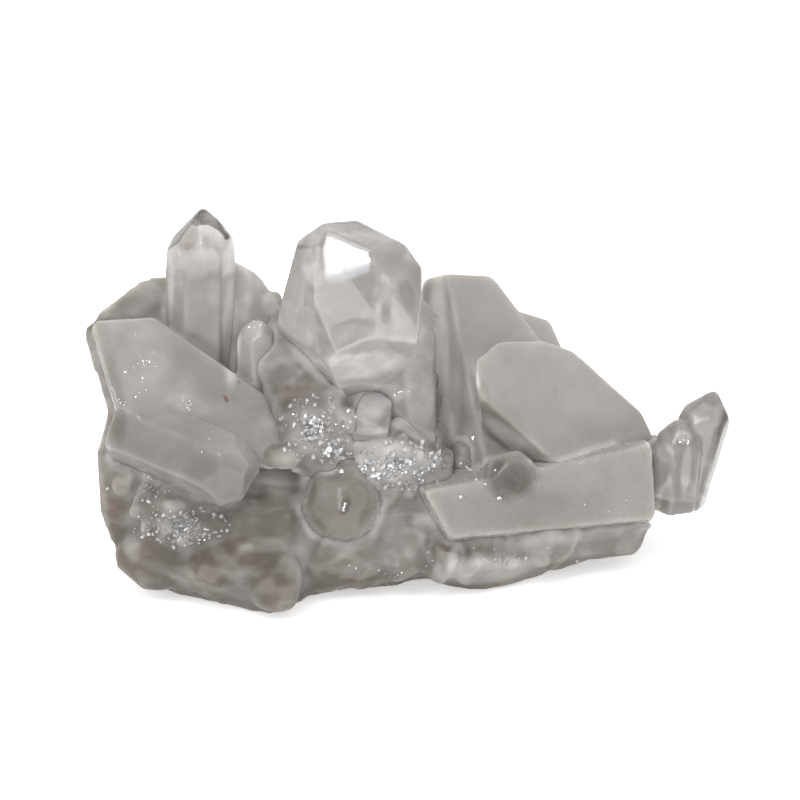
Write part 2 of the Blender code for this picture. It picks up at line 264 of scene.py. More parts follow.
def move_out(mesh, amounts):
    """Moves every vertex along its normal by its amount, in metres, and keeps all above z 0."""
    moved = points_of(mesh) + points_of(mesh, "normal") * np.asarray(amounts)[:, None]
    moved[:, 2] = np.maximum(moved[:, 2], 0)
    mesh.vertices.foreach_set("co", moved.astype(np.float32).reshape(-1))
    mesh.update()


def add_piece(name, mesh, material, slot, *nodes):
    """A finished piece that rides on the body and, where named, stands for solids."""
    piece = bpy.data.objects.new(name, mesh)
    bpy.context.scene.collection.objects.link(piece)
    mesh.materials.clear()
    mesh.materials.append(material)
    mesh.shade_smooth()
    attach(piece, BODY)
    if nodes:
        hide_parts(*nodes)
    return piece


def paint(mesh, name, values):
    """Stores one number from 0 to 1 at every vertex."""
    layer = mesh.attributes.new(name, "FLOAT", "POINT")
    layer.data.foreach_set("value", np.clip(values, 0, 1).astype(np.float32))


def ramp(values, low, high):
    """0 below low, 1 above high and a smooth rise between them."""
    part = np.clip((values - low) / (high - low), 0, 1)
    return part * part * (3 - 2 * part)


def averaged(mesh, values, passes):
    """Values of the vertices after passes of averaging each with the vertices around it."""
    pairs = np.empty(len(mesh.edges) * 2, np.int32)
    mesh.edges.foreach_get("vertices", pairs)
    first, second = pairs.reshape(-1, 2).T
    size = len(mesh.vertices)
    count = np.bincount(first, minlength=size) + np.bincount(second, minlength=size) + 1
    columns = values.reshape(size, -1).T
    for _ in range(passes):
        columns = [
            (
                column
                + np.bincount(first, column[second], size)
                + np.bincount(second, column[first], size)
            )
            / count
            for column in columns
        ]
    return np.array(columns).T.reshape(values.shape)


def soften(mesh, passes):
    moved = averaged(mesh, points_of(mesh), passes)
    moved[:, 2] = np.maximum(moved[:, 2], 0)
    mesh.vertices.foreach_set("co", moved.astype(np.float32).reshape(-1))
    mesh.update()


def edges_of(mesh, passes):
    """1 on the mesh's sharp outer edges and 0 on flat and hollow places."""
    points = points_of(mesh)
    away = points - averaged(mesh, points, passes)
    return ramp((away * points_of(mesh, "normal")).sum(axis=1), 0.06 * MM, 0.16 * MM)


def shelter_of(mesh):
    """The share of each vertex's sky that the solids around it cover, from 0 to 1."""
    rng = random.Random(SHELTER_RAYS)
    ways = [
        direction(rng.uniform(0, math.tau), math.asin(rng.uniform(0.1, 0.95)))
        for _ in range(SHELTER_RAYS)
    ]
    covered = np.zeros(len(mesh.vertices))
    up = Vector((0, 0, 1))
    for number, (point, normal) in enumerate(zip(points_of(mesh), points_of(mesh, "normal"))):
        normal = Vector(normal)
        turn = up.rotation_difference(normal)
        start = Vector(point) + normal * SHELTER_START
        for way in ways:
            if SOLIDS_TREE.ray_cast(start, turn @ way, SHELTER_REACH)[0]:
                covered[number] += 1 / SHELTER_RAYS
    return averaged(mesh, covered, 4)


def seams_of(mesh, tree):
    """1 where the mesh meets the solids of the tree, 0 farther than SEAM from them."""
    away = [tree.find_nearest(Vector(point), SEAM)[3] for point in points_of(mesh)]
    return 1 - np.array([SEAM if reach is None else reach for reach in away]) / SEAM


def surface_tree(*pieces):
    bm = bmesh.new()
    for piece in pieces:
        bm.from_mesh(piece.data)
    tree = BVHTree.FromBMesh(bm)
    bm.free()
    return tree


def shine_axis(place=SHINE_RIGHT):
    """Where a line of sight meets the middle crystal, and the way it goes on from there."""
    ahead = sight(*place)
    hit, normal, _, _ = MIDDLE_TREE.ray_cast(CAMERA_PLACE, ahead)
    return hit, ahead - normal * 2 * ahead.dot(normal)


def softbox_place():
    """The softbox's frame: its lower left corner, with X along its lower edge and Y up it."""
    hit, axis = shine_axis()
    middle = hit + axis * SOFTBOX_DISTANCE

    def on_panel(place):
        start, way = shine_axis(place)
        return start + way * ((middle - start).dot(axis) / way.dot(axis))

    corner = on_panel(SHINE_LEFT)
    along = (on_panel(SHINE_RIGHT) - corner).normalized()
    rise = on_panel(SHINE_TOP) - corner
    rise = (rise - along * rise.dot(along)).normalized()
    turn = Matrix((along, rise, along.cross(rise))).transposed().to_4x4()
    return Matrix.Translation(corner) @ turn


MIDDLE_TREE = surface_tree(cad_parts["main_crystals"])
SOLIDS_TREE = surface_tree(*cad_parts.values())
CRYSTALS_TREE = surface_tree(*(node for name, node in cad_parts.items() if name != "matrix"))


def on_frame(points):
    """Where the camera sees points: their x and y in its frame."""
    scale = CAMERA_SENSOR / CAMERA_LENS / FRAME
    away = points - np.array(CAMERA_PLACE)
    ahead = away @ np.array(VIEW_AHEAD)
    x = FRAME / 2 + away[:, 0] / ahead / scale
    y = FRAME / 2 - away @ np.array(VIEW_UP) / ahead / scale
    return x, y


def zone(mesh, centre, halves, turn=0.0):
    """1 inside an ellipse of the camera's frame, fading to 0, on what looks to the camera."""
    x, y = on_frame(points_of(mesh))
    x, y = x - centre[0], y - centre[1]
    turn = math.radians(turn)
    along = (x * math.cos(turn) + y * math.sin(turn)) / halves[0]
    across = (y * math.cos(turn) - x * math.sin(turn)) / halves[1]
    facing = -points_of(mesh, "normal") @ np.array(VIEW_AHEAD)
    return (1 - ramp(np.hypot(along, across), 0.6, 1.25)) * ramp(facing, -0.2, 0.2)


def add_zones(mesh, name, attribute_name, values):
    """Adds to the values the strengths of the piece's zones for one attribute."""
    for centre, halves, turn, kind, strength in ZONES.get(name, ()):
        if kind == attribute_name:
            values = values + strength * zone(mesh, centre, halves, turn)
    return values


# ---------------------------------------------------------------- relief


def turbulence(points, size, octaves=4):
    """Smooth noise from about -1 to 1 with swells of the given size in mm."""
    scale = 1 / (size * MM)
    return np.array([noise.fractal(Vector(p) * scale, 1.0, 2.0, octaves) for p in points])


def fractures(points, size, seed):
    """Tilted flat facets with steps between them, as broken quartz has, from about -1 to 1."""
    scale = 1 / (size * MM)
    offset = Vector((seed * 3.7, seed * 1.3, seed * 5.1))
    heights = np.empty(len(points))
    for number, point in enumerate(points):
        place = Vector(point) * scale + offset
        centre = noise.voronoi(place)[1][0]
        tilt = noise.cell_vector(centre * 9.7) * 2 - Vector((1, 1, 1))
        heights[number] = (place - centre).dot(tilt) + noise.cell(centre * 5.3) * 0.25
    return heights


# ---------------------------------------------------------------- materials


def add_node(tree, kind, inputs=(), **settings):
    """Adds a shader node with its properties set and its inputs linked or filled in."""
    made = tree.nodes.new(kind)
    for name, value in settings.items():
        setattr(made, name, value)
    for key, value in dict(inputs).items():
        if isinstance(value, bpy.types.NodeSocket):
            tree.links.new(value, made.inputs[key])
        else:
            made.inputs[key].default_value = value
    return made


def noise_value(tree, place, size, detail=3.0, roughness=0.55, distortion=0.0):
    """A noise node with swells of the given size in mm."""
    inputs = {
        "Vector": place,
        "Scale": 1 / (size * MM),
        "Detail": detail,
        "Roughness": roughness,
        "Distortion": distortion,
    }
    return add_node(tree, "ShaderNodeTexNoise", inputs).outputs[0]


def stretch(tree, value, low, high, new_low, new_high):
    """Maps low to high onto new_low to new_high, smoothly and with nothing past the ends."""
    inputs = {0: value, 1: low, 2: high, 3: new_low, 4: new_high}
    return add_node(tree, "ShaderNodeMapRange", inputs, interpolation_type="SMOOTHSTEP").outputs[0]


def maths(tree, operation, first, second):
    return add_node(tree, "ShaderNodeMath", {0: first, 1: second}, operation=operation).outputs[0]


def blend(tree, share, first, second):
    inputs = {0: share, 6: first, 7: second}
    return add_node(tree, "ShaderNodeMix", inputs, data_type="RGBA").outputs[2]


def attribute(tree, name):
    return add_node(tree, "ShaderNodeAttribute", attribute_name=name).outputs["Fac"]


STREAK_TURN = math.radians(-50)  # how far the streaks lean around Y from level


def quartz_material(name, gloss, dull, bump, soft, density, mottling, veining, streaks=0.0):
    """Quartz whose painted clearness, smoke with painted shade, frost with painted light, and stains with
    painted reflections run through fine mottling.

    gloss and dull are the roughness of its cleanest and dullest spots, bump the height of its
    finest relief in mm, soft the share of light scattered under the surface, density the
    absorption of its clear parts, mottling the strength of its soft clouds, veining that of its
    pale veins and streaks that of slanting darker bands.
    """
    look = bpy.context.scene.quartz_look
    material = bpy.data.materials.new(name)
    material.use_nodes = True
    tree = material.node_tree
    shader = tree.nodes["Principled BSDF"]
    place = add_node(tree, "ShaderNodeTexCoord").outputs["Object"]

    mottle = noise_value(tree, place, 6.0, detail=5.0, distortion=0.2)
    cloud = stretch(tree, mottle, 0.35, 0.65, -mottling, mottling)
    turned = add_node(
        tree,
        "ShaderNodeMapping",
        {"Vector": place, "Rotation": (0, STREAK_TURN, 0), "Scale": (0.3, 1, 1)},
    ).outputs[0]
    bands = noise_value(tree, turned, 3.5, detail=3.0, distortion=0.3)
    cloud = maths(tree, "ADD", cloud, stretch(tree, bands, 0.35, 0.65, -streaks, streaks))
    # The painted smoke, with its painted shade, darkens the body towards the smoky colour.
    smoke_and_painted_shade = add_node(
        tree, "ShaderNodeMath", {0: attribute(tree, "smoke_and_painted_shade"), 1: cloud}, operation="ADD", use_clamp=True
    ).outputs[0]
    body = blend(tree, smoke_and_painted_shade, (*look.pale, 1), (*look.smoky_and_shaded, 1))
    # The light attribute, frost with painted light, turns the body towards the frosty colour.
    frost = noise_value(tree, place, 4.0, detail=4.0)
    pale_share = maths(
        tree, "MULTIPLY", attribute(tree, "light"), stretch(tree, frost, 0.35, 0.65, 0.75, 1.0)
    )
    veins = noise_value(tree, place, 7.5, detail=2.0, distortion=1.2)
    off_vein = maths(tree, "ABSOLUTE", maths(tree, "SUBTRACT", veins, 0.5), 0)
    vein_line = stretch(tree, off_vein, 0, 0.02, veining, 0)
    paler = maths(tree, "MAXIMUM", pale_share, vein_line)
    cloudy = blend(tree, paler, body, (*look.frost_and_painted_light, 1))
    glassy = stretch(tree, attribute(tree, "clear"), 0.5, 0.95, 0, 0.7)
    tinted = blend(tree, glassy, cloudy, (*look.clear, 1))
    # Stains, and the brown painted reflections in the upright's clear tip, turn the colour towards the rust
    # colour.
    color = blend(tree, attribute(tree, "stain_and_painted_reflection"), tinted, (*look.rust_and_painted_reflection, 1))
    tree.links.new(color, shader.inputs["Base Color"])

    etched = noise_value(tree, place, 1.3, detail=4.0)
    roughness = stretch(tree, etched, 0.4, 0.62, gloss, dull)
    polish = stretch(tree, attribute(tree, "clear"), 0.5, 0.85, 1.0, 0.15)
    tree.links.new(maths(tree, "MULTIPLY", roughness, polish), shader.inputs["Roughness"])

    haze = noise_value(tree, place, 4.0, detail=4.0, distortion=0.3)
    veil = stretch(tree, haze, 0.45, 0.7, 1.0, 0.7)
    clear = maths(tree, "MULTIPLY", attribute(tree, "clear"), veil)
    tree.links.new(clear, shader.inputs["Transmission Weight"])

    if bump:
        grain = noise_value(tree, place, 1.0, detail=1.0)
        lumps = noise_value(tree, place, 2.5, detail=1.0)
        height = maths(tree, "ADD", maths(tree, "MULTIPLY", grain, 0.4), lumps)
        relief = {"Height": height, "Distance": bump * MM, "Strength": 1.0}
        normal = add_node(tree, "ShaderNodeBump", relief).outputs[0]
        tree.links.new(normal, shader.inputs["Normal"])

    shader.inputs["IOR"].default_value = look.index
    shader.inputs["Subsurface Weight"].default_value = soft
    shader.inputs["Subsurface Scale"].default_value = 5 * MM
    shader.inputs["Subsurface Radius"].default_value = (1.0, 0.9, 0.8)
    absorption = add_node(
        tree, "ShaderNodeVolumeAbsorption", {"Color": (0.80, 0.76, 0.72, 1), "Density": density}
    )
    tree.links.new(absorption.outputs[0], tree.nodes["Material Output"].inputs["Volume"])
    return material


# ---------------------------------------------------------------- the rock


# Extra lumps that close hollows between the crystals: centre and radius in mm.
ROCK_FILLS = (
    ((-18.2, 1.0, 23.6), 4.6),
    ((-22.5, -1.0, 20.5), 4.0),
    ((4.2, 1.5, 19.0), 3.0),
    ((-9.5, 1.0, 26.5), 5.5),
)
# A slanting facet that closes the hollow between the small and the middle crystal: the
# corners of its front in the camera's frame and their depth in mm beyond the aim.
ROCK_WEDGE = (
    (272, 316, 0.5),
    (316, 374, -5.2),
    (338, 400, -8.0),
    (300, 424, -9.2),
    (282, 420, -7.6),
    (258, 372, -4.0),
    (292, 384, -7.0),
)
WEDGE_THICK = 6 * MM
# Where the rock is drawn back behind the crystals: centres and half sizes in the frame.
UNCOVERED = (((373, 402), (37, 26)), ((445, 430), (14, 40)))
UNCOVER_DEPTH = 12 * MM
UNCOVER_MOST = 4.5 * MM
FILLET = 1.2 * MM  # how near to a crystal the rock starts to climb to it


def frame_point(x, y, depth):
    """The place seen at (x, y), depth mm farther from the camera than its aim."""
    return CAMERA_PLACE + sight(x, y) * (CAMERA_DISTANCE + depth * MM)


def uncover(mesh):
    """Draws the rock back from the crystals that it hides in a few places."""
    points = points_of(mesh)
    ways = points - np.array(CAMERA_PLACE)
    ways /= np.linalg.norm(ways, axis=1)[:, None]
    x, y = on_frame(points)
    drawn = np.zeros(len(points))
    for centre, halves in UNCOVERED:
        inside = np.hypot((x - centre[0]) / halves[0], (y - centre[1]) / halves[1]) < 1
        for number in np.flatnonzero(inside):
            place = Vector(points[number])
            hidden = CRYSTALS_TREE.ray_cast(place, Vector(ways[number]), UNCOVER_DEPTH)[3]
            if hidden:
                drawn[number] = min(hidden + 0.6 * MM, UNCOVER_MOST)
    moved = points + ways * averaged(mesh, drawn, 4)[:, None]
    mesh.vertices.foreach_set("co", moved.astype(np.float32).reshape(-1))
    mesh.update()


def close_gaps(mesh):
    """Swells the rock where it runs just beside a crystal, until the two meet."""
    swell = np.zeros(len(mesh.vertices))
    for number, point in enumerate(points_of(mesh)):
        place = Vector(point)
        near, normal, _, away = CRYSTALS_TREE.find_nearest(place, FILLET)
        if near and (place - near).dot(normal) > 0:
            swell[number] = FILLET - away
    move_out(mesh, averaged(mesh, swell, 5))


def build_rock():
    surface = bpy.context.scene.quartz_surface
    mesh = node_mesh("matrix")
    bm = bmesh.new()
    bm.from_mesh(mesh)
    for centre, radius in ROCK_FILLS:
        place = Matrix.Translation(Vector(centre) * MM)
        bmesh.ops.create_icosphere(bm, subdivisions=3, radius=radius * MM, matrix=place)
    corners = []
    for x, y, depth in ROCK_WEDGE:
        front = frame_point(x, y, depth)
        corners.append(bm.verts.new(front))
        corners.append(bm.verts.new(front + sight(x, y) * WEDGE_THICK))
    bmesh.ops.convex_hull(bm, input=corners)
    bm.to_mesh(mesh)
    bm.free()
    mesh = even_grid(mesh, surface.rock_grid, 0)
    uncover(mesh)
    mesh = even_grid(mesh, surface.rock_grid, 4)
    points = points_of(mesh)
    relief = fractures(points, 8.0, surface.seed) * 0.42
    relief += fractures(points, 3.4, surface.seed + 1) * 0.2
    move_out(mesh, (averaged(mesh, relief, 1) + 0.16) * MM)
    close_gaps(mesh)
    soften(mesh, 1)
    points = points_of(mesh)
    # Painted shade: the rock is painted smokier towards the bottom. Painted light: it is painted paler and less
    # smoky in sheltered places and along its seams with the crystals, and its edges pale, partly frost and
    # partly a painted highlight.
    low = 1 - ramp(points[:, 2], 2 * MM, 26 * MM)
    shelter = shelter_of(mesh)
    light = 0.1 * edges_of(mesh, 8) + 0.15 * shelter + 0.4 * seams_of(mesh, CRYSTALS_TREE)
    smoke_and_painted_shade = 0.8 + 0.35 * low + 0.2 * turbulence(points, 10) - 0.3 * shelter
    clear = 0.16 + 0.2 * turbulence(points, 7)
    paint(mesh, "light", add_zones(mesh, "base_rock", "light", light))
    paint(mesh, "smoke_and_painted_shade", add_zones(mesh, "base_rock", "smoke_and_painted_shade", smoke_and_painted_shade))
    paint(mesh, "clear", add_zones(mesh, "base_rock", "clear", clear))
    paint(mesh, "stain_and_painted_reflection", add_zones(mesh, "base_rock", "stain_and_painted_reflection", np.zeros(len(points))))
    material = quartz_material("rock_quartz", 0.42, 0.6, 0.0, 0.6, 60.0, 0.14, 0.0, 0.18)
    return add_piece("base_rock", mesh, material, "base_rock", "matrix")


# ---------------------------------------------------------------- the crystals


class Group(NamedTuple):
    """How one group of crystals is finished."""

    node: str
    slot: str
    rounding: int  # passes of smoothing that round the edges
    smoke_and_painted_shade: float
    gloss: float
    dull: float
    clearness: float
    tip_clearness: float = 0.0
    tip_from: float = 60.0  # heights in mm between which the tips clear
    tip_to: float = 80.0
    waves: float = 0.03  # relief of the faces in mm
    # The worn edges are painted pale, partly as frost and partly as a painted highlight along them.
    frost: float = 0.2  # how pale the worn edges are
    chips: float = 0.3  # how deep the small chips in the edges are, in mm
    dent: float = 0.0  # depth in mm of the broad dents in the edges


GROUPS = {
    "middle_crystals": Group(
        "main_crystals", "clear_quartz", 22, 0.0, 0.01, 0.02, 0.35, 0.55, 24, 34, waves=0.0, chips=0.0
    ),
    "left_crystals_skin": Group(
        "left_crystals", "cloudy_quartz", 12, 0.1, 0.12, 0.24, 0.3, 0.94, 41, 52, frost=0.12, chips=0.2, dent=0.4
    ),
    "back_crystals_skin": Group(
        "back_crystals", "cloudy_quartz", 36, 0.14, 0.3, 0.4, 0.12, waves=0.05, frost=0.0, chips=0.0, dent=1.4
    ),
    "front_crystals_skin": Group(
        "front_crystals", "cloudy_quartz", 22, 0.1, 0.16, 0.28, 0.12, waves=0.05, dent=0.6
    ),
    "front_nub_skin": Group("front_nub", "cloudy_quartz", 80, 0.52, 0.2, 0.3, 0.15),
    "small_block_skin": Group("small_block", "cloudy_quartz", 5, 0.0, 0.1, 0.2, 0.45),
    "end_crystals_skin": Group(
        "end_crystals", "clear_quartz", 18, 0.0, 0.08, 0.16, 0.55, waves=0.02, chips=0.0, dent=0.3
    ),
}

# piece: (centre, half sizes and turn of an ellipse in the camera's frame, what it changes, how much). Many light
# zones are painted light on faces and hollows in shade, a few painted highlights; many smoke zones are painted
# shade or painted dark reflections; the rest are the quartz's own clouds, clearness and stains.
ZONES = {
    # Middle crystal: painted light on its shaded lower faces and foot and over its broad face, and painted dark
    # reflections in its windows.
    "middle_crystals": (
        ((348, 368), (58, 14), -8, "light", 0.9),
        ((312, 345), (30, 10), 50, "light", 0.25),
        ((386, 314), (6, 11), 0, "smoke_and_painted_shade", 0.75),
        ((350, 332), (30, 9), 0, "light", 0.3),
        ((407, 295), (8, 17), -18, "smoke_and_painted_shade", 0.4),
        ((366, 394), (40, 10), 0, "light", 0.6),
        ((404, 340), (13, 24), 0, "light", 0.25),
        ((350, 236), (60, 13), 10, "light", 0.4),
        ((311, 256), (9, 22), 10, "light", 0.4),
        ((318, 369), (26, 5), 42, "light", 0.6),
        ((386, 296), (7, 19), 0, "smoke_and_painted_shade", 0.6),
        ((400, 330), (30, 60), 0, "clear", -0.15),
        ((395, 262), (22, 24), 30, "light", 0.3),
        ((345, 310), (70, 70), 0, "light", 0.3),
        ((418, 410), (26, 70), 0, "light", 0.18),
    ),
    # Left crystals: painted light on the upright's shaded right face and along its edges, painted shade where
    # the block overhangs the lying crystal, and painted reflections, brown and dark, in the upright's clear tip.
    "left_crystals_skin": (
        ((145, 362), (26, 42), 20, "light", 0.18),
        ((188, 404), (24, 10), 20, "light", 0.2),
        ((112, 400), (13, 50), -8, "smoke_and_painted_shade", 0.3),
        ((130, 325), (30, 14), 20, "light", 0.2),
        ((165, 448), (70, 26), 24, "smoke_and_painted_shade", 0.25),
        ((197, 280), (12, 22), 0, "light", 0.15),
        ((178, 246), (7, 18), 10, "stain_and_painted_reflection", 0.2),
        ((206, 243), (4, 10), 0, "clear", -0.3),
        ((222, 244), (6, 7), 0, "smoke_and_painted_shade", 0.4),
        ((203, 375), (40, 16), 35, "smoke_and_painted_shade", 0.12),
        ((220, 478), (36, 24), 22, "smoke_and_painted_shade", 0.25),
        ((171, 285), (3, 40), 0, "light", 0.5),
        ((178, 275), (6, 22), 0, "light", 0.3),
        ((218, 290), (12, 18), 0, "light", 0.35),
        ((231, 318), (10, 66), 0, "light", 0.9),
        ((231, 330), (9, 44), 0, "clear", -0.3),
        ((179, 250), (5, 14), 0, "smoke_and_painted_shade", 0.4),
        ((190, 236), (8, 16), 35, "smoke_and_painted_shade", 0.6),
        ((216, 228), (5, 6), 0, "smoke_and_painted_shade", 0.6),
        ((192, 238), (9, 18), 0, "clear", -0.2),
        ((190, 231), (8, 7), 30, "stain_and_painted_reflection", 0.22),
        ((189, 247), (8, 3.5), 10, "stain_and_painted_reflection", 0.28),
        ((228, 243), (4, 12), 0, "stain_and_painted_reflection", 0.25),
        ((200, 216), (5, 6), 0, "stain_and_painted_reflection", 0.28),
        ((226, 399), (1.6, 4.2), -30, "stain_and_painted_reflection", 0.9),
        ((239, 382), (2.2, 1.6), 0, "stain_and_painted_reflection", 0.4),
        ((252, 327), (13, 6), 0, "light", 0.25),
    ),
    # Back crystals: painted shade in the recess below them and painted light on the tall crystal's shaded left
    # face.
    "back_crystals_skin": (
        ((482, 436), (44, 34), 0, "smoke_and_painted_shade", 0.45),
        ((438, 360), (11, 90), 0, "light", 0.8),
        ((453, 380), (8, 80), 0, "light", 0.3),
        ((512, 440), (40, 8), 40, "light", 0.5),
        ((476, 376), (3, 14), -16, "light", 0.4),
        ((484, 393), (6, 14), -16, "smoke_and_painted_shade", 0.2),
        ((525, 385), (50, 34), 30, "smoke_and_painted_shade", 0.12),
        ((610, 425), (50, 24), 40, "light", 0.06),
    ),
    "front_crystals_skin": (
        ((512, 478), (26, 22), 0, "smoke_and_painted_shade", 0.5),
        ((512, 478), (26, 22), 0, "clear", 0.3),
        ((438, 515), (9, 20), -28, "light", 0.1),
        ((500, 510), (70, 22), -6, "smoke_and_painted_shade", 0.12),
    ),
    "front_nub_skin": (
        ((340, 515), (26, 24), 0, "smoke_and_painted_shade", 0.05),
        ((345, 506), (5, 9), 20, "smoke_and_painted_shade", 0.6),
    ),
    "small_block_skin": (((369, 431), (16, 4), 0, "light", 0.7),),
    # End crystals: painted highlights on the bright strip and faces of the front crystal.
    "end_crystals_skin": (
        ((684, 437), (8, 7), 0, "light", 0.9),
        ((686, 470), (5, 26), 6, "light", 0.7),
        ((706, 492), (3, 5), 0, "smoke_and_painted_shade", 0.9),
        ((657, 480), (6, 34), 0, "light", 0.9),
        ((666, 466), (9, 30), 0, "light", 0.4),
        ((722, 445), (8, 50), 10, "smoke_and_painted_shade", 0.8),
    ),
    # Rock: painted light in the shade beside the crystals and under the crust, painted shade along its foot,
    # besides its own veins, bands, clouds and stains.
    "base_rock": (
        ((130, 500), (26, 40), 20, "smoke_and_painted_shade", 0.15),
        ((250, 520), (52, 24), 10, "smoke_and_painted_shade", 0.35),
        ((158, 548), (22, 14), 30, "smoke_and_painted_shade", 0.25),
        ((270, 575), (36, 22), 0, "smoke_and_painted_shade", 0.2),
        ((400, 570), (60, 16), 0, "smoke_and_painted_shade", 0.15),
        ((230, 568), (40, 8), 53, "light", 0.1),
        ((264, 545), (30, 8), 0, "light", 0.16),
        ((160, 568), (26, 6), 18, "light", 0.1),
        ((172, 590), (22, 6), 8, "smoke_and_painted_shade", 0.3),
        ((137, 520), (13, 14), 40, "light", 0.18),
        ((132, 547), (8, 16), -10, "light", 0.14),
        ((175, 505), (11, 6), 10, "light", 0.3),
        ((184, 549), (7, 11), -10, "light", 0.15),
        ((180, 526), (30, 12), 12, "light", 0.18),
        ((402, 552), (30, 26), 20, "light", 0.1),
        ((432, 560), (5, 30), -30, "light", 0.15),
        ((132, 302), (44, 13), -20, "light", 0.18),
        ((228, 345), (12, 30), 0, "light", 0.5),
        ((271, 303), (10, 12), 0, "light", 0.4),
        ((485, 570), (55, 14), -4, "light", 0.35),
        ((360, 545), (70, 30), 0, "light", 0.08),
        ((240, 290), (12, 44), 0, "light", 0.4),
        ((313, 366), (30, 8), 42, "light", 0.5),
        ((415, 430), (28, 9), 25, "light", 0.5),
        ((285, 477), (34, 9), 0, "light", 0.5),
        ((426, 527), (17, 12), 45, "light", 0.4),
        ((456, 560), (9, 20), 15, "light", 0.35),
        ((565, 537), (92, 7), -5, "light", 0.15),
        ((295, 562), (18, 16), 0, "light", 0.15),
        ((370, 592), (66, 6), -8, "smoke_and_painted_shade", 0.5),
        ((590, 562), (66, 9), -14, "smoke_and_painted_shade", 0.5),
        ((250, 290), (22, 40), 0, "light", 0.25),
        ((287, 464), (24, 14), 0, "light", 0.15),
        ((320, 430), (34, 30), 0, "light", 0.25),
        ((395, 465), (55, 24), 0, "light", 0.5),
        ((300, 396), (26, 14), 20, "stain_and_painted_reflection", 0.1),
        ((560, 548), (90, 14), -8, "light", 0.2),
        ((465, 540), (6, 4), 0, "smoke_and_painted_shade", 0.5),
        ((300, 565), (14, 30), 0, "light", 0.12),
        ((250, 487), (12, 10), 0, "light", 0.25),
        ((113, 509), (4, 5), 0, "stain_and_painted_reflection", 0.3),
    ),
}


def build_group(name):
    group = GROUPS[name]
    surface = bpy.context.scene.quartz_surface
    mesh = even_grid(node_mesh(group.node), surface.crystal_grid, group.rounding)
    points = points_of(mesh)
    edges = edges_of(mesh, 8)
    rise = turbulence(points, 4.0) * group.waves + 0.08
    rise -= edges * ramp(turbulence(points, 2.4), 0.0, 0.5) * group.chips
    if group.dent:
        rise -= averaged(mesh, edges, 8) * ramp(turbulence(points, 6.0), -0.1, 0.4) * group.dent
    move_out(mesh, rise * MM)
    up = ramp(points[:, 2], group.tip_from * MM, group.tip_to * MM)
    # Painted shade: the crystals are painted smokier towards the bottom.
    low = 1 - ramp(points[:, 2], 6 * MM, 36 * MM)
    smoke_and_painted_shade = group.smoke_and_painted_shade + 0.25 * low + 0.1 * turbulence(points, 9)
    smoke_and_painted_shade = add_zones(mesh, name, "smoke_and_painted_shade", smoke_and_painted_shade)
    # Edges painted pale, partly frost and partly a painted highlight, and painted light in sheltered places and
    # along the seams with other pieces.
    light = group.frost * averaged(mesh, edges, 1) * (1 - up) * (1 - np.clip(smoke_and_painted_shade, 0, 1))
    others = (node for key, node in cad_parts.items() if key != group.node)
    light += 0.5 * shelter_of(mesh) + 0.8 * seams_of(mesh, surface_tree(*others))
    light = add_zones(mesh, name, "light", light)
    clear = group.clearness + (group.tip_clearness - group.clearness) * up
    paint(mesh, "light", light)
    paint(mesh, "clear", add_zones(mesh, name, "clear", clear))
    paint(mesh, "smoke_and_painted_shade", smoke_and_painted_shade)
    paint(mesh, "stain_and_painted_reflection", add_zones(mesh, name, "stain_and_painted_reflection", np.zeros(len(points))))
    bump, veining = (0.0, 0.0) if group.slot == "clear_quartz" else (0.008, 0.02)
    finish = (group.gloss, group.dull, bump, 0.7, 40.0, 0.06, veining)
    material = quartz_material(f"{group.node}_quartz", *finish)
    return add_piece(name, mesh, material, group.slot, group.node)


# ---------------------------------------------------------------- the crust of tiny crystals

# patch: (centre and half size in the camera's frame, how many, widths from and to in mm)
CRUST_PATCHES = {
    "ledge_left": ((316, 430), (34, 28), 210, (0.3, 0.9)),
    "ledge_right": ((392, 466), (54, 22), 250, (0.3, 0.9)),
    "under_lying": ((180, 526), (40, 16), 200, (0.3, 0.7)),
    "notch": ((480, 470), (16, 16), 50, (0.4, 1.0)),
    "lower_right": ((500, 560), (70, 14), 40, (0.3, 0.6)),
    "lower_left": ((150, 490), (34, 16), 30, (0.3, 0.6)),
}
# Glinting specks on the large crystals, written as the patches are.
SPECKS = {
    "ledge_top": ((318, 420), (24, 16), 30, (0.3, 0.8)),
    "ledge_glare": ((326, 454), (8, 4), 7, (0.7, 1.4)),
    "ledge_right": ((392, 466), (46, 16), 34, (0.3, 0.9)),
    "right_glare": ((377, 475), (7, 5), 8, (0.8, 1.5)),
    "right_end": ((436, 462), (8, 8), 12, (0.4, 0.7)),
    "lone_glints": ((478, 470), (18, 12), 14, (0.3, 0.7)),
    "slab_top": ((460, 497), (3, 4), 2, (0.7, 1.0)),
    "window_rim": ((499, 499), (3, 3), 2, (0.6, 0.9)),
    "recess": ((473, 438), (3, 4), 2, (0.4, 0.7)),
    "nub": ((344, 508), (4, 6), 5, (0.35, 0.6)),
    "block_front": ((143, 362), (16, 26), 18, (0.3, 0.55)),
    "block_ridge": ((190, 405), (13, 7), 12, (0.3, 0.6)),
    "block_corner": ((122, 402), (16, 8), 7, (0.3, 0.45)),
    "lying": ((205, 440), (20, 10), 3, (0.3, 0.4)),
    "small_tip": ((250, 326), (10, 5), 9, (0.3, 0.6)),
    "prop": ((402, 392), (12, 8), 10, (0.3, 0.5)),
    "prop_edge": ((436, 317), (4, 8), 6, (0.3, 0.6)),
    "slab": ((560, 500), (60, 14), 7, (0.3, 0.45)),
    "blade": ((552, 388), (14, 8), 3, (0.3, 0.45)),
    "end": ((684, 440), (7, 7), 8, (0.4, 0.7)),
    "rock_left": ((185, 530), (32, 10), 24, (0.3, 0.6)),
    "rock_low": ((380, 575), (90, 10), 12, (0.3, 0.45)),
}
PATCH_SPREAD = 1.25
PATCH_THINNING = 1.2  # above 0.5 a patch thins out to its edge
BACK_CRUST = 5000
CRUST_LEAN = 0.55
SPARKLING = 0.1  # share of the tiny crystals that have a face turned to the softbox
